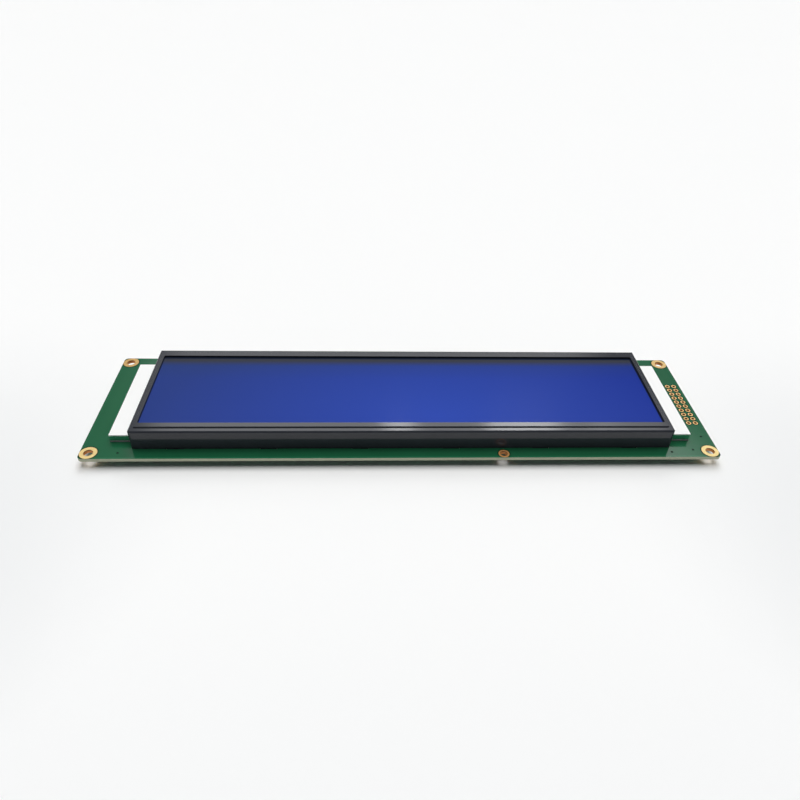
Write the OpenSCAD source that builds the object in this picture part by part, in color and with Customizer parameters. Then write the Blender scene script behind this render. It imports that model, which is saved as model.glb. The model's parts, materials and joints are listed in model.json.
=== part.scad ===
// Graphic liquid-crystal display module: board, stamped bezel, display cell, edge-lit backlight and driver chips.
// It lies face up. X runs along the board towards the connector holes, Y to the rear, Z out of the display.
// z = 0 is the plane on which the tallest chips under the board rest.

/* [Window and bezel] */
// Width of the window
window_w = 182; // [168:0.2:196]
// Depth of the window, front to rear
window_d = 40.9; // [35:0.1:47]
// Radius of the window's corners
window_corner_r = 0.6; // [0.2:0.1:1]
// Width of the raised rim on the short sides
side_rim = 1; // [0.95:0.05:1.6]
// Width of the raised rim on the long sides
long_rim = 2.4; // [1.6:0.1:3.4]
// Height of the rim above the rail
step_h = 0.4; // [0.3:0.05:0.6]
// Radius of the rim's outer edge
rim_edge_r = 0.35; // [0.2:0.05:0.4]
// Radius of the rim's corners
rim_corner_r = 1; // [0.8:0.1:2]
// Width of the rail on the short sides
side_rail = 1.5; // [1.2:0.1:2.2]
// Width of the rail on the long sides
long_rail = 2.15; // [1.8:0.05:3]
// Thickness of the sheet
sheet_t = 0.5; // [0.3:0.05:0.6]
// Outer radius of the upright corners
bezel_corner_r = 1.2; // [0.9:0.1:2]
// Outer radius of the bend between rail and wall
bend_r = 0.65; // [0.65:0.05:1]

/* [Fixing tabs] */
// Width of a tab
tab_w = 5.6; // [4:0.2:8]
// Distance between neighbouring tabs
tab_pitch = 31.4; // [25:0.2:45]
// Shortest distance from a bezel corner to the middle of a tab
tab_end = 10; // [8:0.5:14]
// Length of a tab's foot folded under the board
tab_foot = 2.4; // [1.5:0.1:3]
// Gap between a tab and its slot
tab_clear = 0.2; // [0.1:0.05:0.4]

/* [Circuit board] */
// Thickness of the board
board_t = 1.2; // [0.8:0.1:2]
// Board beyond each end of the backlight
board_end = 8.7; // [8:0.1:14]
// Board beyond the bezel at front and rear
board_margin = 5; // [4.5:0.1:8]
// Radius of the board's corners
board_corner_r = 1.5; // [0.5:0.1:2.5]
// Thickness of the plating in the holes
plating_t = 0.02; // [0.015:0.005:0.025]
// Height of the plated rings round the holes
ring_t = 0.05; // [0.03:0.01:0.08]

/* [Mounting holes] */
// Diameter of a corner hole
corner_hole_d = 3.2; // [2.4:0.1:3.6]
// Diameter of a corner hole's ring
corner_ring_d = 5.9; // [4.6:0.1:6]
// Distance of a corner hole from both board edges
corner_inset = 3; // [3:0.1:3.5]
// Diameter of the front edge hole
edge_hole_d = 2.6; // [1.6:0.1:2.8]
// Diameter of the front edge hole's ring
edge_ring_d = 3.8; // [3:0.1:4]
// Distance of the edge hole from the front edge
edge_hole_inset = 2; // [2:0.1:2.4]
// Distance of the edge hole to the right of the middle
edge_hole_x = 33.8; // [20:0.2:60]

/* [Connector holes] */
// Number of rows, front to rear
header_rows = 10; // [5:1:14]
// Number of columns
header_columns = 2; // [1:1:2]
// Distance between neighbouring holes
header_pitch = 2.54; // [2:0.01:2.54]
// Diameter of a hole
header_hole_d = 1; // [0.8:0.05:1.1]
// Diameter of a hole's ring
header_ring_d = 1.8; // [1.5:0.05:1.9]
// Distance of the outer column from the right board edge
header_inset = 2.3; // [1.8:0.1:3]

/* [Display cell] */
// Thickness of each glass
glass_t = 1.1; // [0.7:0.1:1.4]
// Thickness of each polarizer
polarizer_t = 0.2; // [0.15:0.05:0.3]
// Polarizer beyond the window's edge
polarizer_lap = 0.3; // [0.1:0.05:0.35]
// Gap between the glass and the bezel's walls
glass_clear = 0.3; // [0.2:0.05:0.5]
// Width of a conductive rubber strip
strip_w = 2; // [1.4:0.1:2.4]
// Gap beside a conductive rubber strip
strip_clear = 0.6; // [0.3:0.05:1]
// Height of the cushion frame
cushion_t = 1.5; // [1:0.05:2]
// Width of the cushion frame
cushion_w = 1.6; // [1:0.1:2.5]

/* [Backlight] */
// Length of each end that stands out of the bezel
backlight_end = 7.8; // [7:0.1:12]
// Thickness of the white diffuser sheet
diffuser_t = 0.4; // [0.3:0.05:0.6]
// Thickness of the light guide
guide_t = 1.9; // [1.7:0.1:3]
// Thickness of the reflector sheet
reflector_t = 0.2; // [0.1:0.05:0.3]
// Thickness of the mounting tape
tape_t = 0.5; // [0.3:0.05:0.8]
// Thickness of the mirror band
mirror_t = 0.1; // [0.06:0.02:0.2]
// How far the diffuser sheet stands over the mirror band
sheet_lip = 0.1; // [0.05:0.05:0.3]
// Gap between the backlight and the bezel
backlight_clear = 0.2; // [0.1:0.05:0.4]
// Thickness of a lamp board
lamp_board_t = 1.2; // [1.1:0.1:1.6]
// Length of a lamp along its board
lamp_l = 2.8; // [2:0.1:3.5]
// Depth of a lamp off its board
lamp_d = 1.2; // [0.8:0.1:2]
// Height of a lamp
lamp_h = 1.4; // [1:0.1:1.6]
// Distance between neighbouring lamps
lamp_pitch = 4.4; // [4:0.1:6]
// Diameter of a lamp pin
lamp_pin_d = 0.6; // [0.5:0.05:0.8]
// Distance between the two pins at one end
lamp_pin_span = 30; // [20:0.5:34]
// Length of a pin below the board
lamp_pin_tail = 1.2; // [0.8:0.1:1.6]
// Gap round a pin in the board and the sheets
lamp_pin_clear = 0.1; // [0.05:0.05:0.12]
// Radius of a solder joint
solder_r = 0.9; // [0.7:0.05:1.2]
// Height of a solder joint
solder_h = 0.8; // [0.5:0.05:0.8]

/* [Chips under the board] */
// Height of a flat pack off the board
pack_h = 2.6; // [2.4:0.1:3.2]
// Length of a flat pack's body
pack_l = 20; // [18:0.5:22]
// Width of a flat pack's body
pack_w = 14; // [12:0.5:15]
// Distance between a flat pack's leads
pack_pitch = 1; // [0.8:0.05:1.27]
// How far a flat pack's leads reach off its body
pack_reach = 1.8; // [1.4:0.1:2.2]
// Length of the memory's body
memory_l = 18; // [15:0.5:20]
// Width of the memory's body
memory_w = 8.4; // [7:0.2:9]
// Height of the memory off the board
memory_h = 2.3; // [2:0.1:2.4]
// Length of the bias amplifier's body
amplifier_l = 8.7; // [7:0.1:10]
// Width of the bias amplifier's body
amplifier_w = 3.9; // [3.5:0.1:4.5]
// Height of the bias amplifier off the board
amplifier_h = 1.7; // [1.4:0.1:2]
// Distance between the leads of the memory and the amplifier
small_pitch = 1.27; // [1:0.01:1.27]
// How far the leads of the memory and the amplifier reach off the body
small_reach = 1.3; // [1:0.1:1.8]
// Width of a lead
lead_w = 0.4; // [0.25:0.05:0.5]
// Thickness of a lead
lead_t = 0.2; // [0.15:0.05:0.25]
// Length of a lead's foot
lead_foot = 0.7; // [0.5:0.1:0.9]
// Gap between a chip's body and the board
chip_gap = 0.25; // [0.15:0.05:0.4]

/* [Chip places] */
// Distance of the controller from the right board edge
controller_inset = 34; // [32:0.5:36]
// Place of the controller, front to rear
controller_y = -2; // [-4:0.5:4]
// Distance of the first column driver from the left board edge
column_inset = 38; // [34:0.5:42]
// Distance between neighbouring column drivers
column_pitch = 43; // [40:0.5:44]
// Place of the column drivers, front to rear
column_y = -8; // [-9:0.5:-7]
// Distance of the row driver from the left board edge
row_inset = 34; // [30:0.5:38]
// Place of the row driver, front to rear
row_y = 10.5; // [10:0.5:11]
// Distance of the memory's middle left of the controller
memory_offset = 28; // [26:0.5:32]
// Distance of the bias amplifier's middle right of the row driver
amplifier_offset = 26; // [20:0.5:30]
// Length of a chip capacitor or resistor
small_part_l = 2; // [1.6:0.1:2.4]
// Width of a chip capacitor or resistor
small_part_w = 1.25; // [0.8:0.05:1.4]
// Height of a chip capacitor
capacitor_h = 0.9; // [0.6:0.05:1.2]
// Height of a chip resistor
resistor_h = 0.55; // [0.4:0.05:0.7]
// Length of a metal end cap
end_cap = 0.4; // [0.3:0.05:0.5]
// Distance between neighbouring capacitors or resistors
small_part_pitch = 3.2; // [2.6:0.1:3.6]

/* [Hidden] */
$fn = 64;

// Cuts run this far past the faces that they open
past = 1;

// Plan sizes, from the window outwards
rim_w = window_w + 2 * side_rim;
rim_d = window_d + 2 * long_rim;
bezel_w = rim_w + 2 * side_rail;
bezel_d = rim_d + 2 * long_rail;
inner_w = bezel_w - 2 * sheet_t;
inner_d = bezel_d - 2 * sheet_t;
channel = strip_w + 2 * strip_clear;
backlight_w = bezel_w + 2 * backlight_end;
backlight_d = inner_d - 2 * channel;
board_w = backlight_w + 2 * board_end;
board_d = bezel_d + 2 * board_margin;

// Heights, from the table upwards
board_z = pack_h;
board_top = board_z + board_t;
reflector_z = board_top + tape_t;
guide_z = reflector_z + reflector_t;
diffuser_z = guide_z + guide_t;
cushion_z = diffuser_z + diffuser_t;
rear_polarizer_z = cushion_z + cushion_t;
rear_glass_z = rear_polarizer_z + polarizer_t;
front_glass_z = rear_glass_z + glass_t;
front_polarizer_z = front_glass_z + glass_t;
bezel_h = front_polarizer_z + sheet_t - board_top;
rim_h = bezel_h + step_h;

// Display cell
glass_gap = max(glass_clear, bend_r - sheet_t);
glass_w = inner_w - 2 * glass_gap;
glass_d = inner_d - 2 * glass_gap;
strip_y = inner_d / 2 - channel / 2;
strip_l = glass_w - 2 * channel;

// Backlight
core_w = backlight_w - 2 * sheet_lip - 2 * mirror_t;
core_d = backlight_d - 2 * sheet_lip - 2 * mirror_t;
guide_w = core_w - 2 * (lamp_board_t + lamp_d);
lamp_count = floor((core_d - lamp_l) / lamp_pitch) + 1;
lamp_pin_x = core_w / 2 - lamp_board_t / 2;
lamp_pin_r = lamp_pin_d / 2;
solder_rim = 0.06;

// Tabs
tab_count = floor((bezel_w - 2 * tab_end) / tab_pitch) + 1;

// Holes
corner_x = board_w / 2 - corner_inset;
corner_y = board_d / 2 - corner_inset;
edge_hole_y = edge_hole_inset - board_d / 2;
header_x = board_w / 2 - header_inset;

// Chips
column_x = [for (i = [0 : 2]) column_inset - board_w / 2 + i * column_pitch];
row_x = row_inset - board_w / 2;
controller_x = board_w / 2 - controller_inset;
memory_x = controller_x - memory_offset;
amplifier_x = row_x + amplifier_offset;
pack_margin = 1;
small_margin = 0.5;
lead_shoulder = 0.45;
body_draft = 0.2;
capacitor_row_y = row_y + small_part_l;
capacitor_places = concat(
    [for (x = column_x, i = [0 : 1]) [x + column_pitch / 2 + (i - 0.5) * small_part_pitch, column_y]],
    [for (i = [0 : 4]) [amplifier_x + amplifier_l + i * small_part_pitch, capacitor_row_y]]
);
resistor_places = concat(
    [for (i = [0 : 4]) [amplifier_x + amplifier_l + i * small_part_pitch, capacitor_row_y - 2 * small_part_l]],
    [for (i = [0 : 3]) [memory_x + (i - 1.5) * small_part_pitch, column_y]]
);

// Colours
board_green = [0.20, 0.42, 0.29];
gold = [0.96, 0.80, 0.48];
black = [0.13, 0.14, 0.15];
display_blue = [0.21, 0.31, 0.66];
clear_glass = [0.75, 0.85, 0.85, 0.5];
rubber_grey = [0.30, 0.30, 0.32];
white = [0.96, 0.97, 0.95];
acrylic = [0.85, 0.92, 0.95, 0.6];
silver = [0.80, 0.81, 0.82];
grey = [0.55, 0.56, 0.56];
tin = [0.75, 0.75, 0.73];
chip_black = [0.10, 0.10, 0.11];
ceramic_tan = [0.70, 0.60, 0.45];

// Rectangle with round corners, centred
module rounded_rect(w, d, r) {
    square([w, d - 2 * r], center = true);
    square([w - 2 * r, d], center = true);
    for (x = [-1, 1], y = [-1, 1])
        translate([x * (w / 2 - r), y * (d / 2 - r)])
            circle(r);
}

// Wall outline with round upper corners, standing on the axis
module crowned_outline(w, h, r) {
    translate([-w / 2, 0])
        square([w, h - r]);
    translate([r - w / 2, 0])
        square([w - 2 * r, h]);
    for (x = [-1, 1])
        translate([x * (w / 2 - r), h - r])
            circle(r);
}

// Block with round upright corners and round upper edges
module crowned_block(w, d, h, corner_r, edge_r) {
    intersection() {
        linear_extrude(h)
            rounded_rect(w, d, corner_r);
        rotate([90, 0, 0])
            linear_extrude(d + 2 * past, center = true)
                crowned_outline(w, h, edge_r);
        rotate([90, 0, 90])
            linear_extrude(w + 2 * past, center = true)
                crowned_outline(d, h, edge_r);
    }
}

// Flat sheet centred in plan
module sheet(w, d, t, z) {
    translate([-w / 2, -d / 2, z])
        cube([w, d, t]);
}

// Flat frame centred in plan
module frame(w, d, border, t, z) {
    difference() {
        sheet(w, d, t, z);
        sheet(w - 2 * border, d - 2 * border, t + 2 * past, z - past);
    }
}

// Places shared by a piece and the holes that take it
module at_corners() {
    for (x = [-1, 1], y = [-1, 1])
        translate([x * corner_x, y * corner_y, 0])
            children();
}

module at_edge_hole() {
    translate([edge_hole_x, edge_hole_y, 0])
        children();
}

module at_header() {
    for (column = [0 : header_columns - 1], row = [0 : header_rows - 1])
        translate([header_x - column * header_pitch, (row - (header_rows - 1) / 2) * header_pitch, 0])
            children();
}

module at_tabs() {
    for (side = [0, 1], i = [0 : tab_count - 1])
        rotate([0, 0, 180 * side])
            translate([(i - (tab_count - 1) / 2) * tab_pitch, -bezel_d / 2, board_top])
                children();
}

module at_lamp_pins() {
    for (x = [-1, 1], y = [-1, 1])
        translate([x * lamp_pin_x, y * lamp_pin_span / 2, 0])
            children();
}

// Upright hole through everything between two heights
module drill(r, z0, z1) {
    translate([0, 0, z0 - past])
        cylinder(r = r, h = z1 - z0 + 2 * past);
}

// Plated hole: a barrel with a flat ring on both faces of the board
module eyelet(hole_d, ring_d) {
    bore = hole_d / 2;
    ring = ring_d / 2;
    barrel = bore + plating_t;
    translate([0, 0, board_z])
        rotate_extrude()
            polygon([
                [bore, -ring_t], [ring, -ring_t], [ring, 0], [barrel, 0],
                [barrel, board_t], [ring, board_t], [ring, board_t + ring_t], [bore, board_t + ring_t]
            ]);
}

// Board with its mounting, connector, tab and lamp pin holes
module circuit_board() {
    color(board_green)
        difference() {
            translate([0, 0, board_z])
                linear_extrude(board_t)
                    rounded_rect(board_w, board_d, board_corner_r);
            at_corners()
                drill(corner_hole_d / 2 + plating_t, board_z, board_top);
            at_edge_hole()
                drill(edge_hole_d / 2 + plating_t, board_z, board_top);
            at_header()
                drill(header_hole_d / 2 + plating_t, board_z, board_top);
            at_lamp_pins()
                drill(lamp_pin_r + lamp_pin_clear, board_z, board_top);
            at_tabs()
                translate([-tab_w / 2 - tab_clear, -tab_clear, -board_t - past])
                    cube([tab_w + 2 * tab_clear, sheet_t + 2 * tab_clear, board_t + 2 * past]);
        }
}

module corner_eyelets() {
    color(gold)
        at_corners()
            eyelet(corner_hole_d, corner_ring_d);
}

module edge_eyelet() {
    color(gold)
        at_edge_hole()
            eyelet(edge_hole_d, edge_ring_d);
}

module header_eyelets() {
    color(gold)
        at_header()
            eyelet(header_hole_d, header_ring_d);
}

// Tab down through the board and folded inwards under it, drawn from the wall's outer face
module tab() {
    inner_r = tab_clear;
    outer_r = inner_r + sheet_t;
    bend_z = inner_r - board_t;
    translate([-tab_w / 2, 0, 0])
        rotate([90, 0, 90])
            linear_extrude(tab_w) {
                translate([0, bend_z])
                    square([sheet_t, past - bend_z]);
                translate([outer_r, bend_z])
                    difference() {
                        circle(outer_r);
                        circle(inner_r);
                        translate([-outer_r, 0])
                            square(2 * outer_r);
                        translate([0, -outer_r])
                            square(2 * outer_r);
                    }
                translate([outer_r, -board_t - sheet_t])
                    square([tab_foot, sheet_t]);
            }
}

// Room inside the walls and under the rail, higher under the raised rim
module bezel_cavity() {
    translate([0, 0, -past])
        crowned_block(inner_w, inner_d, bezel_h - sheet_t + past, bezel_corner_r - sheet_t, bend_r - sheet_t);
    linear_extrude(rim_h - sheet_t)
        rounded_rect(rim_w - 2 * sheet_t, rim_d - 2 * sheet_t, rim_corner_r - sheet_t);
}

// One pressing: rail on the front glass, rim raised over the polarizer, walls and folded tabs, open over the
// backlight's ends
module bezel() {
    gap_d = backlight_d + 2 * backlight_clear;
    gap_h = cushion_z - board_top + backlight_clear;
    color(black) {
        translate([0, 0, board_top])
            difference() {
                union() {
                    crowned_block(bezel_w, bezel_d, bezel_h, bezel_corner_r, bend_r);
                    crowned_block(rim_w, rim_d, rim_h, rim_corner_r, rim_edge_r);
                }
                bezel_cavity();
                linear_extrude(rim_h + past)
                    rounded_rect(window_w, window_d, window_corner_r);
                sheet(bezel_w + 2 * past, gap_d, gap_h + past, -past);
            }
        at_tabs()
            tab();
    }
}

module front_polarizer() {
    color(display_blue)
        sheet(window_w + 2 * polarizer_lap, window_d + 2 * polarizer_lap, polarizer_t, front_polarizer_z);
}

module front_glass() {
    color(clear_glass)
        sheet(glass_w, glass_d, glass_t, front_glass_z);
}

module rear_glass() {
    color(clear_glass)
        sheet(glass_w, backlight_d, glass_t, rear_glass_z);
}

module rear_polarizer() {
    color(display_blue)
        sheet(glass_w, backlight_d, polarizer_t, rear_polarizer_z);
}

// Conductive rubber strip from the board up to the front glass's contact edge
module rubber_strip(side) {
    color(rubber_grey)
        translate([0, side * strip_y, 0])
            sheet(strip_l, strip_w, front_glass_z - board_top, board_top);
}

module cushion_frame() {
    color(black)
        frame(glass_w, backlight_d, cushion_w, cushion_t, cushion_z);
}

module diffuser_sheet() {
    color(white)
        sheet(backlight_w, backlight_d, diffuser_t, diffuser_z);
}

module light_guide() {
    color(acrylic)
        sheet(guide_w, core_d, guide_t, guide_z);
}

module reflector_sheet() {
    color(white)
        difference() {
            sheet(core_w, core_d, reflector_t, reflector_z);
            at_lamp_pins()
                drill(lamp_pin_r + lamp_pin_clear, reflector_z, guide_z);
        }
}

module mirror_band() {
    color(silver)
        frame(core_w + 2 * mirror_t, core_d + 2 * mirror_t, mirror_t, diffuser_z - reflector_z, reflector_z);
}

module mounting_tape() {
    color(grey)
        difference() {
            sheet(backlight_w, backlight_d, tape_t, board_top);
            at_lamp_pins()
                drill(lamp_pin_r + lamp_pin_clear, board_top, reflector_z);
        }
}

// Strip of board that stands across one end of the light guide
module lamp_board(side) {
    color(board_green)
        translate([side * lamp_pin_x, 0, 0])
            sheet(lamp_board_t, core_d, guide_t, guide_z);
}

// Row of lamps between a lamp board and the light guide
module lamps(side) {
    color(white)
        for (i = [0 : lamp_count - 1])
            translate([side * (guide_w + lamp_d) / 2, (i - (lamp_count - 1) / 2) * lamp_pitch, 0])
                sheet(lamp_d, lamp_l, lamp_h, guide_z);
}

// Pins from the lamp boards down through the board
module lamp_pins() {
    color(tin)
        at_lamp_pins()
            translate([0, 0, board_z - lamp_pin_tail])
                cylinder(r = lamp_pin_r, h = guide_z - board_z + lamp_pin_tail);
}

// Hollow-sided cone of solder round each pin, under the board
module lamp_solder() {
    color(tin)
        at_lamp_pins()
            translate([0, 0, board_z])
                rotate_extrude()
                    difference() {
                        translate([lamp_pin_r, -solder_h])
                            square([solder_r - lamp_pin_r, solder_h]);
                        translate([solder_r, -solder_h])
                            circle(min(solder_h, solder_r - lamp_pin_r) - solder_rim);
                    }
}

// Carries a chip drawn on its pads to its place under the board
module under_board(x, y, turn = 0) {
    translate([x, y, board_z])
        rotate([180, 0, turn])
            children();
}

// Outline of a moulded body, widest at the leads
module body_outline(w, h) {
    middle = (h + chip_gap) / 2;
    wide = w / 2;
    narrow = wide - body_draft;
    polygon([
        [-narrow, chip_gap], [narrow, chip_gap], [wide, middle - lead_t], [wide, middle + lead_t],
        [narrow, h], [-narrow, h], [-wide, middle + lead_t], [-wide, middle - lead_t]
    ]);
}

// Moulded body with sloping sides
module chip_body(l, w, h) {
    color(chip_black)
        intersection() {
            rotate([90, 0, 0])
                linear_extrude(w, center = true)
                    body_outline(l, h);
            rotate([90, 0, 90])
                linear_extrude(l, center = true)
                    body_outline(w, h);
        }
}

// Row of bent leads along one side of a body, from the body's face outwards along Y
module lead_row(side_l, face, reach, pitch, margin, h) {
    middle = (h + chip_gap) / 2;
    count = floor((side_l - 2 * margin) / pitch) + 1;
    foot = reach - lead_foot;
    for (i = [0 : count - 1])
        translate([(i - (count - 1) / 2) * pitch - lead_w / 2, face, 0])
            rotate([90, 0, 90])
                linear_extrude(lead_w)
                    polygon([
                        [0, middle - lead_t / 2], [lead_shoulder - lead_t / 2, middle - lead_t / 2],
                        [foot - lead_t / 2, 0], [reach, 0], [reach, lead_t], [foot + lead_t / 2, lead_t],
                        [lead_shoulder + lead_t / 2, middle + lead_t / 2], [0, middle + lead_t / 2]
                    ]);
}

// Leads on the two long sides, and on the short sides too where the pack has four rows
module chip_leads(l, w, h, reach, pitch, margin, four_rows) {
    color(tin)
        for (turn = [0, 180]) {
            rotate([0, 0, turn])
                lead_row(l, w / 2, reach, pitch, margin, h);
            if (four_rows)
                rotate([0, 0, turn + 90])
                    lead_row(w, l / 2, reach, pitch, margin, h);
        }
}

module flat_pack() {
    chip_body(pack_l, pack_w, pack_h);
}

module flat_pack_leads() {
    chip_leads(pack_l, pack_w, pack_h, pack_reach, pack_pitch, pack_margin, true);
}

module column_driver(i) {
    under_board(column_x[i], column_y)
        flat_pack();
}

module column_driver_leads(i) {
    under_board(column_x[i], column_y)
        flat_pack_leads();
}

module row_driver() {
    under_board(row_x, row_y)
        flat_pack();
}

module row_driver_leads() {
    under_board(row_x, row_y)
        flat_pack_leads();
}

module controller() {
    under_board(controller_x, controller_y, 90)
        flat_pack();
}

module controller_leads() {
    under_board(controller_x, controller_y, 90)
        flat_pack_leads();
}

module memory() {
    under_board(memory_x, row_y)
        chip_body(memory_l, memory_w, memory_h);
}

module memory_leads() {
    under_board(memory_x, row_y)
        chip_leads(memory_l, memory_w, memory_h, small_reach, small_pitch, small_margin, false);
}

module bias_amplifier() {
    under_board(amplifier_x, row_y)
        chip_body(amplifier_l, amplifier_w, amplifier_h);
}

module bias_amplifier_leads() {
    under_board(amplifier_x, row_y)
        chip_leads(amplifier_l, amplifier_w, amplifier_h, small_reach, small_pitch, small_margin, false);
}

// Ceramic block between the end caps of a capacitor or resistor
module small_bodies(places, h, tint) {
    color(tint)
        for (p = places)
            under_board(p[0], p[1])
                sheet(small_part_w, small_part_l - 2 * end_cap, h, 0);
}

module small_ends(places, h) {
    color(tin)
        for (p = places, end = [-1, 1])
            under_board(p[0], p[1])
                translate([0, end * (small_part_l - end_cap) / 2, 0])
                    sheet(small_part_w, end_cap, h, 0);
}

circuit_board();
corner_eyelets();
edge_eyelet();
header_eyelets();
bezel();
front_polarizer();
front_glass();
rear_glass();
rear_polarizer();
rubber_strip(-1);  // front_rubber_strip
rubber_strip(1);  // rear_rubber_strip
cushion_frame();
diffuser_sheet();
light_guide();
reflector_sheet();
mirror_band();
mounting_tape();
lamp_board(-1);  // left_lamp_board
lamp_board(1);  // right_lamp_board
lamps(-1);  // left_lamps
lamps(1);  // right_lamps
lamp_pins();
lamp_solder();
column_driver(0);  // column_driver_1
column_driver(1);  // column_driver_2
column_driver(2);  // column_driver_3
row_driver();
controller();
memory();
bias_amplifier();
column_driver_leads(0);  // column_driver_1_leads
column_driver_leads(1);  // column_driver_2_leads
column_driver_leads(2);  // column_driver_3_leads
row_driver_leads();
controller_leads();
memory_leads();
bias_amplifier_leads();
small_bodies(capacitor_places, capacitor_h, ceramic_tan);  // capacitor_bodies
small_ends(capacitor_places, capacitor_h);  // capacitor_ends
small_bodies(resistor_places, resistor_h, chip_black);  // resistor_bodies
small_ends(resistor_places, resistor_h);  // resistor_ends
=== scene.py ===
import json
import math

import bpy
from mathutils import Matrix, Vector


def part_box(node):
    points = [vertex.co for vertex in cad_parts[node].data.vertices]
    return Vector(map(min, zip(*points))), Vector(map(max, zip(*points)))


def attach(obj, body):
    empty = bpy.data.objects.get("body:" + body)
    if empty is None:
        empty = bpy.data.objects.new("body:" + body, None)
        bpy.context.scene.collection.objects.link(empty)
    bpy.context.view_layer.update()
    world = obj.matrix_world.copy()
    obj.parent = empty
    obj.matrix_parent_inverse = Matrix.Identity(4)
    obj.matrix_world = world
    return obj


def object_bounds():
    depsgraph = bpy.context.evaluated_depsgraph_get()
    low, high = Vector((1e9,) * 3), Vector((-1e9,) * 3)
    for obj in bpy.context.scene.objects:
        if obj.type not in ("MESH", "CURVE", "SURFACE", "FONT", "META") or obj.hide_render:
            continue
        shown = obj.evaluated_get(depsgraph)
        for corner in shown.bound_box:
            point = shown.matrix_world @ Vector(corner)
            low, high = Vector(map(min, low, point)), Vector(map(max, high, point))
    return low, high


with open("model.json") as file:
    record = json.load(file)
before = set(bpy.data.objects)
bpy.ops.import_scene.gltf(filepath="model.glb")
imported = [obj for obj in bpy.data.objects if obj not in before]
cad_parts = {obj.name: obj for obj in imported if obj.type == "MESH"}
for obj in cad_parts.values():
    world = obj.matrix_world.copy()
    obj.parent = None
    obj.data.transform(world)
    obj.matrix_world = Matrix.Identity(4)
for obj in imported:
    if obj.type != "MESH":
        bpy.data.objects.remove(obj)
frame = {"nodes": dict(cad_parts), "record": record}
cad_low, cad_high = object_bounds()
nodes = frame["nodes"]

MM = 0.001

# Camera, from the photograph's perspective
CAMERA_PLACE = (-13.48 * MM, -201.71 * MM, 158.84 * MM)
CAMERA_YAW = math.radians(-3.596)
CAMERA_PITCH = math.radians(38.832)
CAMERA_ROLL = math.radians(2.205)
CAMERA_LENS = 30.60
CAMERA_SHIFT_Y = 0.025
CAMERA_NEAREST = 0.01
CAMERA_FARTHEST = 50.0
SENSOR_WIDTH = 36.0

# Heights of the board's two faces, its middle and half its thickness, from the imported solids
board_low, board_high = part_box("circuit_board")
BOARD_BOTTOM = board_low.z
BOARD_TOP = board_high.z
BOARD_MIDDLE = (BOARD_BOTTOM + BOARD_TOP) / 2
BOARD_HALF = (BOARD_TOP - BOARD_BOTTOM) / 2

# Board: depth of the mask, threads of its glass cloth, paler margin, and layers of the cut edge per metre
MASK_DEPTH = 0.03 * MM
CLOTH_THREAD = 0.9 * MM
CLOTH_SHARE = 0.1
MARGIN_BAND = (0.8 * MM, 0.6 * MM)
LAMINATE_SCALE = (900, 900, 9000)

# Display film: lap under the rim, a painted highlight at its front middle and how far that reaches, and
# its grid of dots
FILM_LAP = 0.3 * MM
PAINTED_HIGHLIGHT_X = 12 * MM
PAINTED_HIGHLIGHT_FROM_FRONT = 4 * MM
PAINTED_HIGHLIGHT_REACH = (100 * MM, 60 * MM)
DOT_PITCH = 0.55 * MM
DOT_FILL = 0.9
DOT_GAP_SHARE = 0.06

# Painted shade and painted reflection at the film's edges: distances from the rim where a tone starts and
# where it is full
REAR_PAINTED_SHADE_BAND = (14 * MM, 3 * MM)
REAR_PAINTED_SHADE_SHARE = 0.35
REAR_PAINTED_REFLECTION_BAND = (6.4 * MM, 1.8 * MM)
REAR_RIM_SHADE_BAND = (1.3 * MM, 0.9 * MM)
RIGHT_RIM_SHADE_BAND = (0.6 * MM, 0.3 * MM)
LEFT_RIM_SHADE_BAND = (0.2 * MM, 0.05 * MM)

# Rings of the plated holes in the solids, and the connector's columns and rows
CORNER_RING = 5.9 * MM
HEADER_RING = 1.8 * MM
HEADER_COLUMNS = 2
HEADER_ROWS = 10

# Plating: how it turns darker and more orange towards the rear left, the darker orange round the
# connector's holes, and the painted shade down a barrel, dark under the rim and darkest in the
# connector's holes
DARKENING_LEAN = -0.11
DARKENING_REACH = 39 * MM
DARKENING_CLOUD = 0.3
ROUND_HOLE_BAND = (0.66 * MM, 0.56 * MM)
BARREL_END = 0.01 * MM
BARREL_SHADOW_BAND = (0.15 * MM, 0.45 * MM)

# Pairs of dark and pale layers in the rubber strips
RUBBER_PAIR = 0.18 * MM
RUBBER_DARK_SHARE = 0.5

# Small holes closed by the green mask, on the board's upper face, each with a brim, a slope and a dimple
VIA_PLACES = (
    (-97.3 * MM, -27.0 * MM),
    (93.2 * MM, -27.4 * MM),
    (101.2 * MM, -26.2 * MM),
    (106.8 * MM, -19.1 * MM),
)
VIA_RADIUS = 0.42 * MM
VIA_RISE = 0.05 * MM
VIA_BRIM = 0.18 * MM
VIA_SLOPE = 0.06 * MM
VIA_DIMPLE = 0.85 * VIA_RISE
VIA_SIDES = 32

# Collar of the mask round a plated ring
LIP_WIDTH = 0.35 * MM
LIP_RISE = 0.03 * MM
LIP_BEVEL = 0.25 * LIP_RISE
RING_GAP = 0.01 * MM
CORNER_LIP_SIDES = 64
EDGE_LIP_SIDES = 48
HEADER_LIP_SIDES = 24

# Solder pads under the chips' leads
PAD_WIDTH = 0.58 * MM
PAD_LENGTH = 1.25 * MM
PAD_PAST_TOE = 0.3 * MM
PAD_RISE = 0.04 * MM
PAD_SLOPE = 0.08 * MM
PAD_CROWN = 0.03 * MM

# Small edges, faces that count as level, and edges that count as round
FINE_BEVEL = 0.012 * MM
LEVEL_FACE = 0.9
ROUND_ANGLE = math.radians(40)

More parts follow.
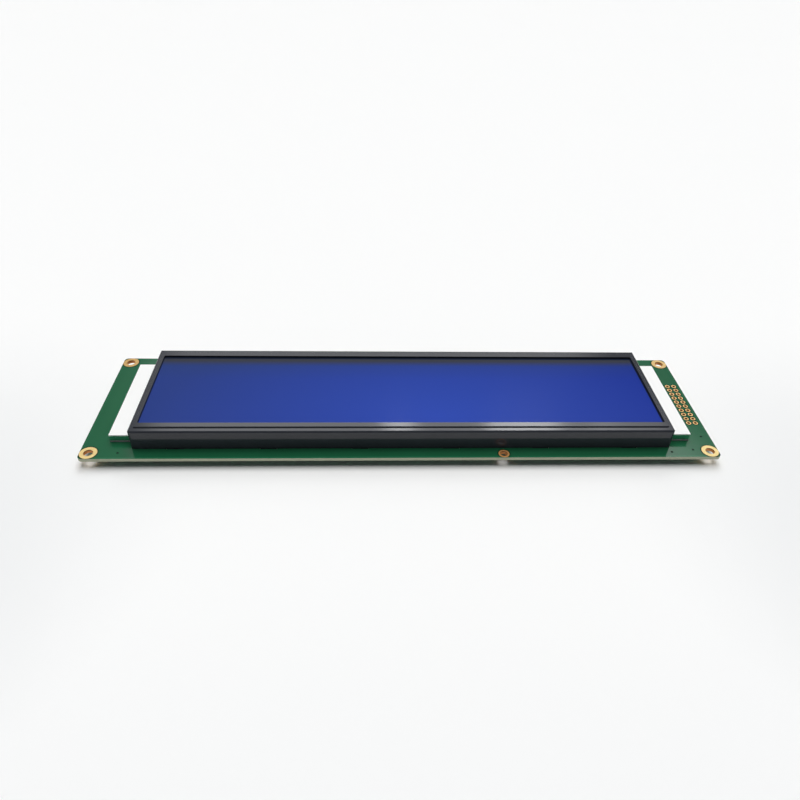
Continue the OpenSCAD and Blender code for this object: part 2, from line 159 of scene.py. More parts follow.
# Chips under the board: lead pitch, distance of the end leads from the body's ends, leads on four sides
CHIPS = {
    "column_driver_1": (1.0 * MM, 1.0 * MM, True),
    "column_driver_2": (1.0 * MM, 1.0 * MM, True),
    "column_driver_3": (1.0 * MM, 1.0 * MM, True),
    "row_driver": (1.0 * MM, 1.0 * MM, True),
    "controller": (1.0 * MM, 1.0 * MM, True),
    "memory": (1.27 * MM, 0.5 * MM, False),
    "bias_amplifier": (1.27 * MM, 0.5 * MM, False),
}
COUNT_SLACK = 0.001

# Floor: its size, the size of its clouds, and the painted shade in front of and beside the object
FLOOR_SIZE = 8.0
FLOOR_CLOUD = 120 * MM
FRONT_PAINTED_SHADE_BAND = (-50 * MM, -160 * MM)
FRONT_PAINTED_SHADE_SHARE = 0.40
SIDE_PAINTED_SHADE_PLACE = (160 * MM, -78 * MM)
SIDE_PAINTED_SHADE_REACH = (100 * MM, 150 * MM)
SIDE_PAINTED_SHADE_FULL = 0.80

# White room: light at the horizon and overhead, the share left in front, and the bands between them
HORIZON_LEVEL = 0.56
OVERHEAD_LEVEL = 0.24
OVERHEAD_BAND = (0.05, 0.50)
FRONT_SHARE = 0.12
FRONT_BAND = (0.3, -0.5)
ABOVE_FRONT_BAND = (0.12, 0.34)
ROOM_COLOUR = (0.985, 0.99, 1.0, 1)

# Two soft panels and three small lamps behind the object: direction, start, full width and strength
PANELS = (
    ((0.020, 0.754, 0.656), 0.9367, 0.9563, 1.30),
    ((0.372, 0.644, 0.669), 0.9903, 0.9969, 0.80),
    ((0.048, 0.775, 0.630), 0.9995, 0.9999, 3.60),
    ((0.226, 0.752, 0.619), 0.9979, 0.9993, 3.10),
    ((0.368, 0.717, 0.592), 0.9982, 0.9994, 0.90),
)
PANEL_TOP_SHARE = 1.95
PANEL_TOP_BAND = (0.56, 0.62)

# Broad soft light from above
OVERHEAD_AIM = (0.02, 0.22, 1.0)
OVERHEAD_ENERGY = 2.08
OVERHEAD_SPREAD = math.radians(55)


# Node helpers

def begin_finish(name):
    """New material with its node tree and its shader."""
    finish = bpy.data.materials.new(name)
    finish.use_nodes = True
    tree = finish.node_tree
    return finish, tree, tree.nodes["Principled BSDF"]


def feed(tree, value, target):
    """Links a socket, or sets a plain value."""
    if isinstance(value, bpy.types.NodeSocket):
        tree.links.new(value, target)
    else:
        target.default_value = value


def add_node(tree, kind, **values):
    """Node of one kind, with input values given by the sockets' names."""
    made = tree.nodes.new("ShaderNode" + kind)
    for name, value in values.items():
        feed(tree, value, made.inputs[name.replace("_", " ")])
    return made


def calc(tree, operation, *values):
    """Math node on numbers or sockets."""
    made = tree.nodes.new("ShaderNodeMath")
    made.operation = operation
    for target, value in zip(made.inputs, values):
        feed(tree, value, target)
    return made.outputs["Value"]


def blend_colours(tree, share, first, second):
    """Colour between two others, by a share from 0 to 1."""
    made = tree.nodes.new("ShaderNodeMix")
    made.data_type = "RGBA"
    feed(tree, share, made.inputs[0])
    feed(tree, first, made.inputs[6])
    feed(tree, second, made.inputs[7])
    return made.outputs[2]


def fade(tree, value, start, full, low=0.0, high=1.0, soft=False):
    """Number that goes from low to high while a value goes from start to full."""
    made = add_node(
        tree, "MapRange", Value=value, From_Min=start, From_Max=full, To_Min=low, To_Max=high)
    if soft:
        made.interpolation_type = "SMOOTHSTEP"
    return made.outputs["Result"]


def between(tree, share, low, high):
    """Number from low to high, by a share from 0 to 1."""
    return fade(tree, share, 0.0, 1.0, low, high)


def inside(tree, value, low, high):
    """1 where a value lies between two others, and 0 elsewhere."""
    past_low = calc(tree, "GREATER_THAN", value, low)
    return calc(tree, "MULTIPLY", past_low, calc(tree, "LESS_THAN", value, high))


def stripes(tree, value, pitch, start):
    """1 in each step's last part, which starts at a share of the step, and 0 before it."""
    step_share = calc(tree, "FRACT", calc(tree, "DIVIDE", value, pitch))
    return calc(tree, "GREATER_THAN", step_share, start)


def waves(tree, value, length):
    """Sine of a value, with one wave in each length."""
    return calc(tree, "SINE", calc(tree, "MULTIPLY", value, 2 * math.pi / length))


def off_grid(tree, value, first, step):
    """Distance from the nearest of evenly spaced places."""
    count = calc(tree, "DIVIDE", calc(tree, "SUBTRACT", value, first), step)
    return calc(tree, "MULTIPLY", calc(tree, "SUBTRACT", count, calc(tree, "ROUND", count)), step)


def place_of(tree):
    """Object coordinates, in metres."""
    return add_node(tree, "TexCoord").outputs["Object"]


def split_place(tree, place):
    """The three numbers of a place."""
    made = add_node(tree, "SeparateXYZ", Vector=place)
    return made.outputs["X"], made.outputs["Y"], made.outputs["Z"]


def stretched(tree, place, scale, location=(0, 0, 0)):
    """Coordinates scaled along the axes, and then shifted."""
    made = add_node(tree, "Mapping", Vector=place, Location=location, Scale=scale)
    return made.outputs["Vector"]


def round_spot(tree, place, middle, reach):
    """Share that is 1 at a middle, and falls to 0 at a reach along X and Y."""
    scale = (1 / reach[0], 1 / reach[1], 0)
    location = (-middle[0] / reach[0], -middle[1] / reach[1], 0)
    made = add_node(tree, "TexGradient", Vector=stretched(tree, place, scale, location))
    made.gradient_type = "SPHERICAL"
    return made.outputs["Fac"]


def cloudy(tree, place, size, detail=3.0):
    """Soft noise with spots of about one size, from 0 to 1."""
    made = add_node(tree, "TexNoise", Vector=place, Scale=1 / size, Detail=detail)
    return made.outputs["Fac"]


def dress(tree, shader, tone, rough, specular=0.5, metallic=0.0):
    """Gives a shader its colour, roughness, reflection and metallic share."""
    feed(tree, tone, shader.inputs["Base Color"])
    feed(tree, rough, shader.inputs["Roughness"])
    feed(tree, metallic, shader.inputs["Metallic"])
    shader.inputs["Specular IOR Level"].default_value = specular


def set_grain(tree, shader, height, strength, relief):
    """Surface relief from a height socket."""
    made = add_node(tree, "Bump", Strength=strength, Distance=relief, Height=height)
    tree.links.new(made.outputs["Normal"], shader.inputs["Normal"])


def mottled(name, dark, light, spot, rough, grain, specular=0.5, metallic=0.0):
    """Plain finish with cloudy colour, uneven gloss and a fine grain."""
    finish, tree, shader = begin_finish(name)
    place = place_of(tree)
    tone = blend_colours(tree, cloudy(tree, place, spot), dark, light)
    fine = cloudy(tree, place, grain, detail=5.0)
    dress(tree, shader, tone, between(tree, fine, *rough), specular, metallic)
    set_grain(tree, shader, fine, strength=0.3, relief=0.02 * MM)
    return finish


# Finishes

def board_finish(name):
    """Glossy green mask on the two faces, bare pale laminate on the cut edges."""
    finish, tree, shader = begin_finish(name)
    place = place_of(tree)
    x, y, z = split_place(tree, place)
    off_middle = calc(tree, "ABSOLUTE", calc(tree, "SUBTRACT", z, BOARD_MIDDLE))
    on_face = calc(tree, "GREATER_THAN", off_middle, BOARD_HALF - MASK_DEPTH)
    cloth = calc(tree, "MULTIPLY", waves(tree, x, CLOTH_THREAD), waves(tree, y, CLOTH_THREAD))
    uneven = calc(tree, "MULTIPLY_ADD", cloth, CLOTH_SHARE, cloudy(tree, place, size=14 * MM))
    mask = blend_colours(tree, uneven, (0.0115, 0.103, 0.043, 1), (0.0155, 0.130, 0.058, 1))
    from_end = calc(tree, "SUBTRACT", board_high.y, calc(tree, "ABSOLUTE", y))
    margin = fade(tree, from_end, *MARGIN_BAND)
    mask = blend_colours(tree, margin, mask, (0.020, 0.150, 0.070, 1))
    layers = cloudy(tree, stretched(tree, place, LAMINATE_SCALE), size=1.0, detail=4.0)
    laminate = blend_colours(tree, layers, (0.36, 0.39, 0.27, 1), (0.58, 0.60, 0.45, 1))
    tone = blend_colours(tree, on_face, laminate, mask)
    dress(tree, shader, tone, between(tree, on_face, 0.65, 0.09))
    ripple = cloudy(tree, place, size=2.2 * MM, detail=2.0)
    set_grain(tree, shader, ripple, strength=0.12, relief=0.01 * MM)
    return finish


def bezel_finish(name):
    """Glossy black lacquer with a faint orange peel."""
    finish, tree, shader = begin_finish(name)
    place = place_of(tree)
    cloud = cloudy(tree, place, size=9 * MM)
    tone = blend_colours(tree, cloud, (0.028, 0.031, 0.039, 1), (0.033, 0.036, 0.045, 1))
    dress(tree, shader, tone, between(tree, cloud, 0.07, 0.12), specular=0.37)
    peel = cloudy(tree, place, size=0.9 * MM, detail=2.0)
    set_grain(tree, shader, peel, strength=0.10, relief=0.01 * MM)
    return finish


def display_finish(name):
    """Blue film with a grid of dots, a painted highlight at the front middle, and along the rear painted
    shade, a grey painted reflection of the rim and a dark painted line; dark painted lines of shade along
    the sides.
    """
    finish, tree, shader = begin_finish(name)
    place = place_of(tree)
    x, y, _ = split_place(tree, place)
    low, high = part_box("front_polarizer")
    across = fade(tree, x, low.x, high.x)
    tone = blend_colours(tree, across, (0.028, 0.054, 0.236, 1), (0.017, 0.038, 0.287, 1))
    # Painted highlight: a lighter patch at the front middle of the film, standing in for a lamp's blurred
    # reflection.
    painted_highlight = round_spot(tree, place, (PAINTED_HIGHLIGHT_X, low.y + PAINTED_HIGHLIGHT_FROM_FRONT), PAINTED_HIGHLIGHT_REACH)
    tone = blend_colours(tree, painted_highlight, tone, (0.031, 0.072, 0.425, 1))
    dot_gaps = calc(
        tree, "MAXIMUM", stripes(tree, x, DOT_PITCH, DOT_FILL), stripes(tree, y, DOT_PITCH, DOT_FILL))
    dot_gaps = calc(tree, "MULTIPLY", dot_gaps, DOT_GAP_SHARE)
    tone = blend_colours(tree, dot_gaps, tone, (0.010, 0.020, 0.10, 1))
    from_rear = calc(tree, "SUBTRACT", high.y - FILM_LAP, y)
    from_right = calc(tree, "SUBTRACT", high.x - FILM_LAP, x)
    from_left = calc(tree, "SUBTRACT", x, low.x + FILM_LAP)
    # Painted shade: a darker blue towards the rear rim.
    dim = fade(tree, from_rear, *REAR_PAINTED_SHADE_BAND, high=REAR_PAINTED_SHADE_SHARE)
    tone = blend_colours(tree, dim, tone, (0.032, 0.056, 0.114, 1))
    # Painted reflection: a grey band along the rear stands for the rear rim's wall mirrored in the film.
    painted_rim_reflection = fade(tree, from_rear, *REAR_PAINTED_REFLECTION_BAND, soft=True)
    tone = blend_colours(tree, painted_rim_reflection, tone, (0.045, 0.050, 0.066, 1))
    # Painted shade and reflection: dark lines along the rear and side rims stand for the rim walls'
    # shadow and their dark mirror image in the film.
    painted_rim_shade = fade(tree, from_rear, *REAR_RIM_SHADE_BAND)
    painted_rim_shade = calc(tree, "MAXIMUM", painted_rim_shade, fade(tree, from_right, *RIGHT_RIM_SHADE_BAND))
    painted_rim_shade = calc(tree, "MAXIMUM", painted_rim_shade, fade(tree, from_left, *LEFT_RIM_SHADE_BAND))
    tone = blend_colours(tree, painted_rim_shade, tone, (0.013, 0.019, 0.038, 1))
    haze = cloudy(tree, place, size=25 * MM)
    dress(tree, shader, tone, between(tree, haze, 0.10, 0.16), specular=0.008)
    return finish


def header_grid():
    """Middle of the connector's first hole, and the steps to the next column and row."""
    low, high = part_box("header_eyelets")
    column_step = (high.x - low.x - HEADER_RING) / (HEADER_COLUMNS - 1)
    row_step = (high.y - low.y - HEADER_RING) / (HEADER_ROWS - 1)
    return low.x + HEADER_RING / 2, low.y + HEADER_RING / 2, column_step, row_step


def off_header_hole(tree, x, y):
    """Distance from the middle of the connector's nearest hole."""
    first_x, first_y, column_step, row_step = header_grid()
    off_column = off_grid(tree, x, first_x, column_step)
    off_row = off_grid(tree, y, first_y, row_step)
    squares = calc(
        tree, "ADD",
        calc(tree, "MULTIPLY", off_column, off_column),
        calc(tree, "MULTIPLY", off_row, off_row))
    return calc(tree, "SQRT", squares)


def plated_finish(name):
    """Matt gold plating, darker and more orange to the rear left, coppery at the edge hole, darker orange
    round the connector's holes, with painted shade down the barrels, darkest and red in the connector.
    """
    finish, tree, shader = begin_finish(name)
    place = place_of(tree)
    x, y, z = split_place(tree, place)
    edge_low, edge_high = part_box("edge_eyelet")
    in_edge = inside(tree, x, edge_low.x, edge_high.x)
    header_low, header_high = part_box("header_eyelets")
    in_header = calc(
        tree, "MULTIPLY",
        calc(tree, "GREATER_THAN", x, header_low.x),
        calc(tree, "LESS_THAN", calc(tree, "ABSOLUTE", y), header_high.y))
    # Darker and more orange towards the rear left.
    to_rear_left = calc(tree, "MULTIPLY_ADD", x, DARKENING_LEAN, y)
    rear_left_darkening = calc(tree, "SUBTRACT", fade(tree, to_rear_left, -DARKENING_REACH, DARKENING_REACH), DARKENING_CLOUD / 2)
    rear_left_darkening = calc(tree, "MULTIPLY_ADD", cloudy(tree, place, size=3 * MM), DARKENING_CLOUD, rear_left_darkening)
    ring = blend_colours(tree, rear_left_darkening, (1.0, 0.78, 0.34, 1), (0.62, 0.38, 0.125, 1))
    ring = blend_colours(tree, in_edge, ring, (0.78, 0.40, 0.14, 1))
    ring = blend_colours(tree, in_header, ring, (1.0, 0.68, 0.26, 1))
    # Darker orange round the connector's holes.
    near_hole = fade(tree, off_header_hole(tree, x, y), *ROUND_HOLE_BAND)
    round_hole_tone = calc(tree, "MULTIPLY", in_header, near_hole)
    ring = blend_colours(tree, round_hole_tone, ring, (0.44, 0.12, 0.025, 1))
    # Painted shade: each barrel is dark just under its rim and lighter orange lower down; the connector's
    # barrels are painted dark red with shade.
    below_painted_shadow = fade(tree, calc(tree, "SUBTRACT", BOARD_TOP, z), *BARREL_SHADOW_BAND)
    barrel = blend_colours(tree, below_painted_shadow, (0.30, 0.10, 0.03, 1), (0.90, 0.42, 0.14, 1))
    barrel = blend_colours(tree, in_header, barrel, (0.09, 0.008, 0.003, 1))
    off_middle = calc(tree, "ABSOLUTE", calc(tree, "SUBTRACT", z, BOARD_MIDDLE))
    in_barrel = calc(tree, "LESS_THAN", off_middle, BOARD_HALF - BARREL_END)
    tone = blend_colours(tree, in_barrel, ring, barrel)
    fine = cloudy(tree, place, size=0.25 * MM, detail=4.0)
    rough = between(tree, fine, 0.36, 0.52)
    dress(tree, shader, tone, rough, metallic=between(tree, in_header, 0.2, 0.05))
    set_grain(tree, shader, fine, strength=0.25, relief=0.02 * MM)
    return finish


def banded_rubber_finish(name):
    """Rubber strip of fine dark and pale layers across its length."""
    finish, tree, shader = begin_finish(name)
    place = place_of(tree)
    x, _, _ = split_place(tree, place)
    pale = stripes(tree, x, RUBBER_PAIR, RUBBER_DARK_SHARE)
    tone = blend_colours(tree, pale, (0.02, 0.02, 0.022, 1), (0.42, 0.41, 0.40, 1))
    fine = cloudy(tree, place, size=0.4 * MM)
    dress(tree, shader, tone, between(tree, fine, 0.6, 0.8))
    return finish


def clear_finish(name, tint, rough):
    """Clear sheet with a faint haze."""
    finish, tree, shader = begin_finish(name)
    haze = cloudy(tree, place_of(tree), size=6 * MM)
    dress(tree, shader, tint, between(tree, haze, *rough))
    shader.inputs["Transmission Weight"].default_value = 1.0
    return finish


finishes = {
    "board_green": board_finish("green_mask_board"),
    "gold_plating": plated_finish("gold_plating"),
    "bezel_black": bezel_finish("black_lacquer"),
    "polarizer_blue": display_finish("blue_display_film"),
    "polarizer_grey": mottled(
        "grey_film", (0.10, 0.10, 0.12, 1), (0.13, 0.13, 0.15, 1),
        spot=12 * MM, rough=(0.15, 0.25), grain=1 * MM),
    "cell_glass": clear_finish("cell_glass", (0.90, 0.96, 0.94, 1), rough=(0.02, 0.07)),
    "strip_rubber": banded_rubber_finish("layered_rubber"),
    "cushion_black": mottled(
        "black_foam", (0.012, 0.012, 0.013, 1), (0.03, 0.03, 0.032, 1),
        spot=1.2 * MM, rough=(0.8, 0.95), grain=0.3 * MM),
    "diffuser_white": mottled(
        "white_diffuser", (0.98, 0.985, 0.97, 1), (0.99, 0.992, 0.985, 1),
        spot=18 * MM, rough=(0.45, 0.6), grain=0.35 * MM),
    "guide_acrylic": clear_finish("clear_acrylic", (0.93, 0.96, 0.97, 1), rough=(0.04, 0.09)),
    "reflector_white": mottled(
        "white_reflector", (0.84, 0.85, 0.85, 1), (0.90, 0.91, 0.91, 1),
        spot=10 * MM, rough=(0.5, 0.65), grain=0.4 * MM),
    "mirror_silver": mottled(
        "mirror_tape", (0.76, 0.78, 0.79, 1), (0.84, 0.85, 0.86, 1),
        spot=6 * MM, rough=(0.08, 0.16), grain=0.8 * MM, metallic=1.0),
    "tape_grey": mottled(
        "grey_foam_tape", (0.26, 0.27, 0.27, 1), (0.36, 0.37, 0.37, 1),
        spot=1.5 * MM, rough=(0.6, 0.8), grain=0.3 * MM),
    "lamp_board_green": mottled(
        "lamp_board", (0.010, 0.09, 0.036, 1), (0.018, 0.13, 0.055, 1),
        spot=3 * MM, rough=(0.25, 0.4), grain=0.4 * MM),
    "lamp_white": mottled(
        "lamp_body", (0.80, 0.79, 0.70, 1), (0.88, 0.87, 0.80, 1),
        spot=1.5 * MM, rough=(0.3, 0.45), grain=0.3 * MM),
    "tin_plating": mottled(
        "tin_plating", (0.62, 0.62, 0.60, 1), (0.74, 0.74, 0.72, 1),
        spot=0.8 * MM, rough=(0.28, 0.42), grain=0.15 * MM, metallic=1.0),
    "solder": mottled(
        "solder", (0.66, 0.66, 0.66, 1), (0.80, 0.80, 0.80, 1),
        spot=0.6 * MM, rough=(0.18, 0.32), grain=0.2 * MM, metallic=1.0),
    "chip_black": mottled(
        "moulded_epoxy", (0.014, 0.014, 0.015, 1), (0.024, 0.024, 0.025, 1),
        spot=2.5 * MM, rough=(0.5, 0.68), grain=0.12 * MM),
    "capacitor_tan": mottled(
        "ceramic_tan", (0.46, 0.32, 0.19, 1), (0.58, 0.43, 0.28, 1),
        spot=0.5 * MM, rough=(0.45, 0.6), grain=0.1 * MM),
    "resistor_black": mottled(
        "black_glaze", (0.012, 0.012, 0.014, 1), (0.022, 0.022, 0.024, 1),
        spot=0.6 * MM, rough=(0.25, 0.4), grain=0.1 * MM),
}

# Each solid takes the finish of its slot in the record
for entry in frame["record"]["subparts"]:
    surface = nodes[entry["node"]].data
    surface.materials.clear()
    surface.materials.append(finishes[entry["material_slot"]])


# Details on the board

def select_only(piece):
    """Makes a piece the selected and active one."""
    bpy.ops.object.select_all(action="DESELECT")
    piece.select_set(True)
    bpy.context.view_layer.objects.active = piece


def settle(piece):
    """Puts a piece's place into its mesh, so that the object stays at the origin."""
    select_only(piece)
    bpy.ops.object.transform_apply(location=True, rotation=True, scale=True)


def pick_faces(piece, wanted):
    """Selects the faces that a test accepts, and leaves edit mode on."""
    bpy.ops.object.mode_set(mode="EDIT")
    bpy.ops.mesh.select_mode(type="FACE")
    bpy.ops.mesh.select_all(action="DESELECT")
    bpy.ops.object.mode_set(mode="OBJECT")
    for face in piece.data.polygons:
        face.select = wanted(face)
    bpy.ops.object.mode_set(mode="EDIT")


def apply_modifier(piece, kind, **values):
    """Adds a modifier to the active piece, sets it and applies it."""
    made = piece.modifiers.new(kind.lower(), kind)
    for name, value in values.items():
        setattr(made, name, value)
    bpy.ops.object.modifier_apply(modifier=made.name)


def copy_piece(source, name, shift_x, shift_y):
    """Copy of a piece with its own mesh, moved over the board."""
    select_only(source)
    bpy.ops.object.duplicate()
    twin = bpy.context.object
    twin.name = name
    bpy.ops.transform.translate(value=(shift_x, shift_y, 0))
    settle(twin)
    return twin


def add_to_root(piece, finish):
    """Lets a finished piece ride on the body, with its finish."""
    piece.data.materials.clear()
    piece.data.materials.append(finish)
    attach(piece, "root")


def make_vias(finish):
    """Low mask-covered rings with a dimple, modelled once and copied."""
    first_x, first_y = VIA_PLACES[0]
    bpy.ops.object.select_all(action="DESELECT")
    bpy.ops.mesh.primitive_cylinder_add(
        vertices=VIA_SIDES, radius=VIA_RADIUS, depth=VIA_RISE,
        location=(first_x, first_y, BOARD_TOP + VIA_RISE / 2))
    via = bpy.context.object
    via.name = "tented_via_1"
    settle(via)
    pick_faces(via, lambda face: face.normal.z > LEVEL_FACE)
    bpy.ops.mesh.inset(thickness=VIA_BRIM)
    bpy.ops.mesh.inset(thickness=VIA_SLOPE)
    bpy.ops.transform.translate(value=(0, 0, -VIA_DIMPLE))
    bpy.ops.object.mode_set(mode="OBJECT")
    apply_modifier(via, "BEVEL", width=FINE_BEVEL, segments=2)
    bpy.ops.object.shade_smooth_by_angle(angle=ROUND_ANGLE)
    add_to_root(via, finish)
    for number, (x, y) in enumerate(VIA_PLACES[1:], start=2):
        twin = copy_piece(via, f"tented_via_{number}", x - first_x, y - first_y)
        add_to_root(twin, finish)


def model_lip(name, x, y, ring_radius, sides):
    """Low collar that the mask forms round a plated ring."""
    bpy.ops.object.select_all(action="DESELECT")
    bpy.ops.mesh.primitive_cylinder_add(
        vertices=sides, radius=ring_radius + LIP_WIDTH, depth=LIP_RISE, end_fill_type="NOTHING",
        location=(x, y, BOARD_TOP + LIP_RISE / 2))
    lip = bpy.context.object
    lip.name = name
    settle(lip)
    apply_modifier(lip, "SOLIDIFY", thickness=LIP_WIDTH - RING_GAP, offset=-1)
    apply_modifier(lip, "BEVEL", width=LIP_BEVEL, segments=1)
    bpy.ops.object.shade_smooth_by_angle(angle=ROUND_ANGLE)
    return lip


def trim_to_board(piece):
    """Cuts off what stands past the board's edges."""
    bpy.ops.object.select_all(action="DESELECT")
    bpy.ops.mesh.primitive_cube_add(size=1.0, location=(0, 0, BOARD_TOP))
    plan = bpy.context.object
    plan.scale = (2 * (board_high.x - RING_GAP), 2 * (board_high.y - RING_GAP), 4 * LIP_RISE)
    settle(plan)
    select_only(piece)
    apply_modifier(piece, "BOOLEAN", operation="INTERSECT", solver="EXACT", object=plan)
    bpy.data.objects.remove(plan, do_unlink=True)


def make_board_lips(finish):
    """Mask collars round the corner rings and the edge ring, cut off at the board's edges."""
    corner_low, corner_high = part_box("corner_eyelets")
    radius = CORNER_RING / 2
    left = corner_low.x + radius
    right = corner_high.x - radius
    front = corner_low.y + radius
    rear = corner_high.y - radius
    corner_lip = model_lip("corner_lip_1", right, rear, radius, CORNER_LIP_SIDES)
    lips = [corner_lip]
    for number, (x, y) in enumerate(((left, rear), (right, front), (left, front)), start=2):
        lips.append(copy_piece(corner_lip, f"corner_lip_{number}", x - right, y - rear))
    edge_low, edge_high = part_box("edge_eyelet")
    middle = (edge_low + edge_high) / 2
    radius = (edge_high.x - edge_low.x) / 2
    lips.append(model_lip("edge_lip", middle.x, middle.y, radius, EDGE_LIP_SIDES))
    for lip in lips:
        trim_to_board(lip)
        add_to_root(lip, finish)


def make_header_lips(finish):
    """Mask collars round the connector's rings, one modelled and the rest copied."""
    first_x, first_y, column_step, row_step = header_grid()
    first = model_lip("header_lip_1_1", first_x, first_y, HEADER_RING / 2, HEADER_LIP_SIDES)
    add_to_root(first, finish)
    for column in range(HEADER_COLUMNS):
        for row in range(HEADER_ROWS):
            if column + row == 0:
                continue
            name = f"header_lip_{column + 1}_{row + 1}"
            twin = copy_piece(first, name, column * column_step, row * row_step)
            add_to_root(twin, finish)


def make_pad_row(name, x, y, size_x, size_y, count, step_x, step_y):
    """Row of flat solder pads under the board, one modelled and the rest by an array."""
    bpy.ops.object.select_all(action="DESELECT")
    first_x = x - (count - 1) / 2 * step_x
    first_y = y - (count - 1) / 2 * step_y
    bpy.ops.mesh.primitive_cube_add(size=1.0, location=(first_x, first_y, BOARD_BOTTOM - PAD_RISE / 2))
    row = bpy.context.object
    row.name = name
    row.scale = (size_x, size_y, PAD_RISE)
    settle(row)
    pick_faces(row, lambda face: face.normal.z < -LEVEL_FACE)
    bpy.ops.mesh.inset(thickness=PAD_SLOPE)
    bpy.ops.transform.translate(value=(0, 0, -PAD_CROWN))
    bpy.ops.object.mode_set(mode="OBJECT")
    apply_modifier(row, "BEVEL", width=FINE_BEVEL, segments=1)
    apply_modifier(
        row, "ARRAY", count=count, use_relative_offset=False, use_constant_offset=True,
        constant_offset_displace=(step_x, step_y, 0))
    bpy.ops.object.shade_smooth_by_angle(angle=ROUND_ANGLE)
    add_to_root(row, finishes["solder"])


def lead_count(length, margin, pitch):
    """Number of leads along a side of a chip."""
    return int((length - 2 * margin) / pitch + COUNT_SLACK) + 1


def make_pads():
    """Solder pads under the leads' feet, along the sides of each chip that have leads."""
    in_from_toe = PAD_LENGTH / 2 - PAD_PAST_TOE
    for chip, (pitch, margin, four_rows) in CHIPS.items():
        low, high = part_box(chip)
        foot_low, foot_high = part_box(chip + "_leads")
        middle = (low + high) / 2
        count = lead_count(high.x - low.x, margin, pitch)
        for side, y in (("front", foot_low.y + in_from_toe), ("rear", foot_high.y - in_from_toe)):
            make_pad_row(f"{chip}_{side}_pads", middle.x, y, PAD_WIDTH, PAD_LENGTH, count, pitch, 0)
        if not four_rows:
            continue
        count = lead_count(high.y - low.y, margin, pitch)
        for side, x in (("left", foot_low.x + in_from_toe), ("right", foot_high.x - in_from_toe)):
            make_pad_row(f"{chip}_{side}_pads", x, middle.y, PAD_LENGTH, PAD_WIDTH, count, 0, pitch)


shaded_mask = mottled(
    "shaded_green_mask", (0.002, 0.018, 0.010, 1), (0.004, 0.030, 0.016, 1),
    spot=0.4 * MM, rough=(0.35, 0.5), grain=0.1 * MM, specular=0.1)
make_vias(shaded_mask)
make_board_lips(shaded_mask)
make_header_lips(shaded_mask)
make_pads()


# Floor, light and camera

def floor_finish(name):
    """Pale paper with painted shade, darker in front of the object and beside it."""
    finish, tree, shader = begin_finish(name)
    place = place_of(tree)
    x, y, _ = split_place(tree, place)
    cloud = cloudy(tree, place, FLOOR_CLOUD)
    paper = blend_colours(tree, cloud, (0.98, 0.985, 0.98, 1), (0.99, 0.99, 0.985, 1))
    # Painted shade: the paper darkens in front of the object and in two soft patches beside it.
    front_painted_shade = fade(tree, y, *FRONT_PAINTED_SHADE_BAND, high=FRONT_PAINTED_SHADE_SHARE, soft=True)
    off_centre = add_node(tree, "CombineXYZ", X=calc(tree, "ABSOLUTE", x), Y=y)
    spot = round_spot(tree, off_centre.outputs["Vector"], SIDE_PAINTED_SHADE_PLACE, SIDE_PAINTED_SHADE_REACH)
    side_painted_shade = fade(tree, spot, 0.0, SIDE_PAINTED_SHADE_FULL, soft=True)
    dim = calc(tree, "MAXIMUM", front_painted_shade, side_painted_shade)
    tone = blend_colours(tree, dim, paper, (0.875, 0.885, 0.887, 1))
    dress(tree, shader, tone, 0.9, specular=0.1)
    return finish


def make_floor():
    """Wide pale floor under the object."""
    bpy.ops.object.select_all(action="DESELECT")
    bpy.ops.mesh.primitive_plane_add(size=FLOOR_SIZE, location=(0, 0, cad_low.z))
    floor = bpy.context.object
    floor.name = "floor"
    settle(floor)
    floor.data.materials.append(floor_finish("pale_floor"))


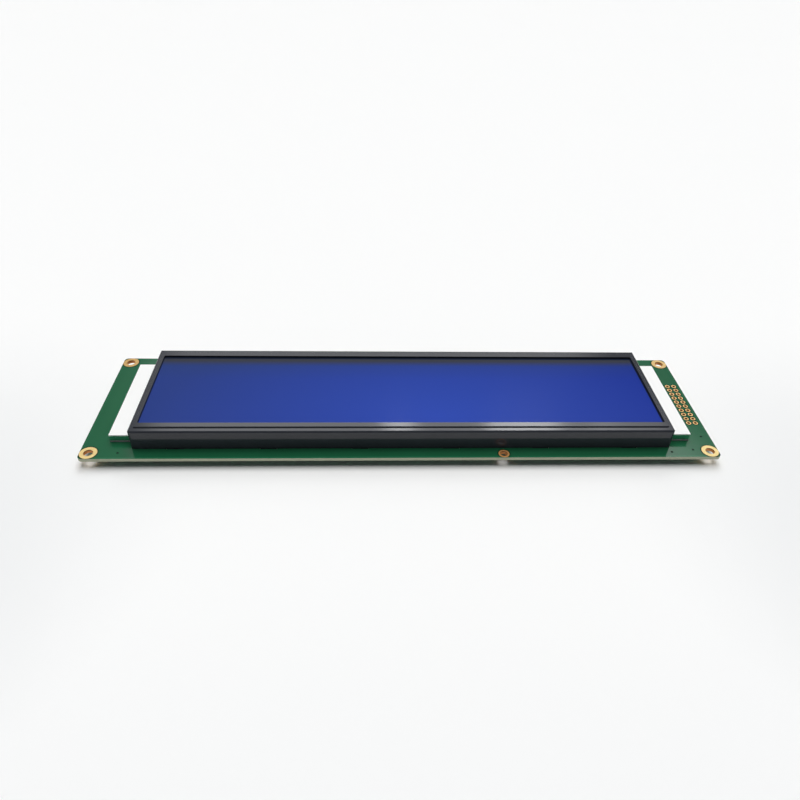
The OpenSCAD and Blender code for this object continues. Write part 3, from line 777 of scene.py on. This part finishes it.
def make_world():
    """White room: pale at the horizon, dim overhead and in front, with soft panels behind the object."""
    world = bpy.data.worlds.new("white_room")
    bpy.context.scene.world = world
    world.use_nodes = True
    tree = world.node_tree
    direction = add_node(tree, "TexCoord").outputs["Generated"]
    _, y, z = split_place(tree, direction)
    level = fade(tree, z, *OVERHEAD_BAND, HORIZON_LEVEL, OVERHEAD_LEVEL, soft=True)
    to_front = fade(tree, y, *FRONT_BAND, soft=True)
    above_front = fade(tree, z, *ABOVE_FRONT_BAND, soft=True)
    in_front = calc(tree, "MULTIPLY", to_front, above_front)
    level = calc(tree, "MULTIPLY", level, between(tree, in_front, 1.0, FRONT_SHARE))
    higher = fade(tree, z, *PANEL_TOP_BAND, 1.0, PANEL_TOP_SHARE, soft=True)
    for aim, start, full, strength in PANELS:
        towards = tree.nodes.new("ShaderNodeVectorMath")
        towards.operation = "DOT_PRODUCT"
        tree.links.new(direction, towards.inputs[0])
        towards.inputs[1].default_value = Vector(aim).normalized()
        panel = fade(tree, towards.outputs["Value"], start, full, 0.0, strength, soft=True)
        level = calc(tree, "MULTIPLY_ADD", panel, higher, level)
    background = tree.nodes["Background"]
    background.inputs["Color"].default_value = ROOM_COLOUR
    tree.links.new(level, background.inputs["Strength"])


def make_sun(name, aim, energy, spread):
    """Broad soft light from one side, which only fills and isn't mirrored."""
    bpy.ops.object.light_add(type="SUN", location=(0, 0, 1))
    sun = bpy.context.object
    sun.name = name
    sun.data.energy = energy
    sun.data.angle = spread
    sun.visible_glossy = False
    sun.rotation_mode = "QUATERNION"
    sun.rotation_quaternion = Vector(aim).to_track_quat("Z", "Y")


def make_camera():
    """Camera at the photograph's place."""
    bpy.ops.object.camera_add()
    camera = bpy.context.object
    camera.name = "camera"
    camera.data.sensor_width = SENSOR_WIDTH
    camera.data.lens = CAMERA_LENS
    camera.data.shift_y = CAMERA_SHIFT_Y
    camera.data.clip_start = CAMERA_NEAREST
    camera.data.clip_end = CAMERA_FARTHEST
    turn = (Matrix.Rotation(CAMERA_YAW, 4, "Z")
            @ Matrix.Rotation(math.pi / 2 - CAMERA_PITCH, 4, "X")
            @ Matrix.Rotation(CAMERA_ROLL, 4, "Z"))
    camera.matrix_world = Matrix.Translation(CAMERA_PLACE) @ turn
    bpy.context.scene.camera = camera


make_floor()
make_world()
make_sun("soft_overhead", OVERHEAD_AIM, OVERHEAD_ENERGY, OVERHEAD_SPREAD)
make_camera()
bpy.context.scene.view_settings.view_transform = "Standard"
